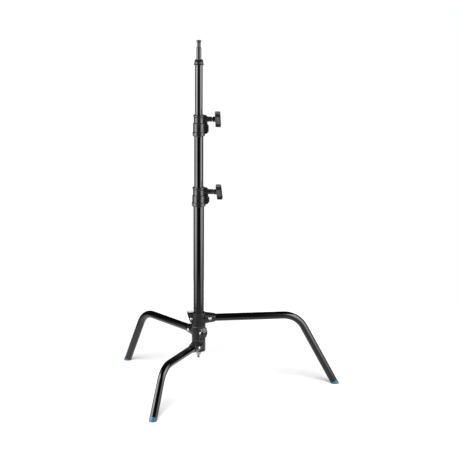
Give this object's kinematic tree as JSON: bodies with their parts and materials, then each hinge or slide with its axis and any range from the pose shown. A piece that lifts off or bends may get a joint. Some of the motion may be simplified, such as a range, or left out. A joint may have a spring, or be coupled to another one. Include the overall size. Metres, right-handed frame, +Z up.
{
  "type": "lighting stand",
  "caption": "Black lighting stand with cranked folding legs on a stacked hub, telescopic risers with T-knob brakes and a 16 mm top spigot.",
  "frame": {"origin": "on the floor, on the axis of the column", "axes": "+Z up along the column; the uppermost leg points 7 degrees anticlockwise from +X, and the knobs point close to +X"},
  "size_m": [0.7492, 0.7088, 1.178],
  "materials": {
    "gloss_black_tube": "gloss black plating over steel tube",
    "black_casting": "satin black powder coat over cast alloy",
    "black_lever": "gloss black paint",
    "black_spigot": "black oxide, lightly worn",
    "knob_plastic": "fine moulded texture",
    "blue_foot": "satin moulded plastic",
    "nylon": "dark nylon",
    "brass_shoe": "machined",
    "zinc_steel": "bright zinc plate",
    "dark_spring_steel": "black oxide"
  },
  "bodies": {
    "stand_base": {"base_casting": "black_casting", "base_thrust_washer": "nylon", "hub_wave_washer": "dark_spring_steel", "hub_retaining_ring": "dark_spring_steel", "column_plug": "zinc_steel", "tie_stud": "zinc_steel", "tie_nut": "zinc_steel", "tie_washer": "zinc_steel", "bottom_leg_tube": "gloss_black_tube", "bottom_leg_foot": "blue_foot", "bottom_leg_bolt": "zinc_steel", "bottom_leg_nut": "zinc_steel", "column_tube": "gloss_black_tube", "lower_collar": "black_casting", "lower_collar_bush": "nylon", "lower_collar_rivets": "dark_spring_steel"},
    "middle_leg": {"middle_casting": "black_casting", "middle_leg_tube": "gloss_black_tube", "middle_leg_foot": "blue_foot", "middle_leg_bolt": "zinc_steel", "middle_leg_nut": "zinc_steel", "middle_lever_pin": "zinc_steel", "middle_lever_spring": "dark_spring_steel", "middle_thrust_washer": "nylon"},
    "middle_lever": {"middle_lock_lever": "black_lever"},
    "top_leg": {"top_casting": "black_casting", "top_leg_tube": "gloss_black_tube", "top_leg_foot": "blue_foot", "top_leg_bolt": "zinc_steel", "top_leg_nut": "zinc_steel", "top_lever_pin": "zinc_steel", "top_lever_spring": "dark_spring_steel"},
    "top_lever": {"top_lock_lever": "black_lever"},
    "riser_1": {"riser_1_tube": "gloss_black_tube", "riser_1_guide": "nylon", "upper_collar": "black_casting", "upper_collar_bush": "nylon", "upper_collar_rivets": "dark_spring_steel"},
    "riser_2": {"riser_2_tube": "gloss_black_tube", "riser_2_guide": "nylon", "top_cap": "black_casting", "spigot": "black_spigot", "spigot_cross_pin": "zinc_steel"},
    "lower_brake": {"lower_brake_shoe": "brass_shoe"},
    "lower_knob": {"lower_knob_screw": "zinc_steel", "lower_knob_handle": "knob_plastic"},
    "upper_brake": {"upper_brake_shoe": "brass_shoe"},
    "upper_knob": {"upper_knob_screw": "zinc_steel", "upper_knob_handle": "knob_plastic"}
  },
  "joints": [
    {"name": "top_leg_swing", "type": "hinge", "parent": "stand_base", "child": "top_leg", "pos_m": [0, 0, 0.247], "axis": [0, 0, 1], "range_deg": [-120, 0]},
    {"name": "middle_leg_swing", "type": "hinge", "parent": "stand_base", "child": "middle_leg", "pos_m": [0, 0, 0.2005], "axis": [0, 0, 1], "range_deg": [0, 120]},
    {"name": "top_lever_pivot", "type": "hinge", "parent": "top_leg", "child": "top_lever", "pos_m": [-0.02531, -0.00311, 0.247], "axis": [0.1219, -0.9925, 0], "range_deg": [0, 14], "stiffness_Nm_per_rad": 0.6, "springref_deg": -20.05, "deforming": ["top_lever_spring"]},
    {"name": "middle_lever_pivot", "type": "hinge", "parent": "middle_leg", "child": "middle_lever", "pos_m": [0.01535, -0.02037, 0.2005], "axis": [0.7986, 0.6018, 0], "range_deg": [0, 14], "stiffness_Nm_per_rad": 0.6, "springref_deg": -20.05, "deforming": ["middle_lever_spring"]},
    {"name": "riser_1_slide", "type": "slide", "parent": "stand_base", "child": "riser_1", "axis": [0, 0, 1], "range_m": [-0.168, 0.27]},
    {"name": "riser_2_slide", "type": "slide", "parent": "riser_1", "child": "riser_2", "axis": [0, 0, 1], "range_m": [-0.158, 0.28]},
    {"name": "lower_brake_slide", "type": "slide", "parent": "stand_base", "child": "lower_brake", "axis": [0.9781, -0.2079, 0], "range_m": [0, 0.00126]},
    {"name": "lower_knob_turn", "type": "hinge", "parent": "lower_brake", "child": "lower_knob", "pos_m": [0, 0, 0.68], "axis": [0.9781, -0.2079, 0], "range_deg": [0, 360]},
    {"name": "upper_brake_slide", "type": "slide", "parent": "riser_1", "child": "upper_brake", "axis": [0.9945, -0.1045, 0], "range_m": [0, 0.00126]},
    {"name": "upper_knob_turn", "type": "hinge", "parent": "upper_brake", "child": "upper_knob", "pos_m": [0, 0, 0.9205], "axis": [0.9945, -0.1045, 0], "range_deg": [0, 360]}
  ],
  "couplings": [
    {"joint": "lower_brake_slide", "follows": "lower_knob_turn", "m_per_rad": 0.00019894},
    {"joint": "upper_brake_slide", "follows": "upper_knob_turn", "m_per_rad": 0.00019894}
  ]
}
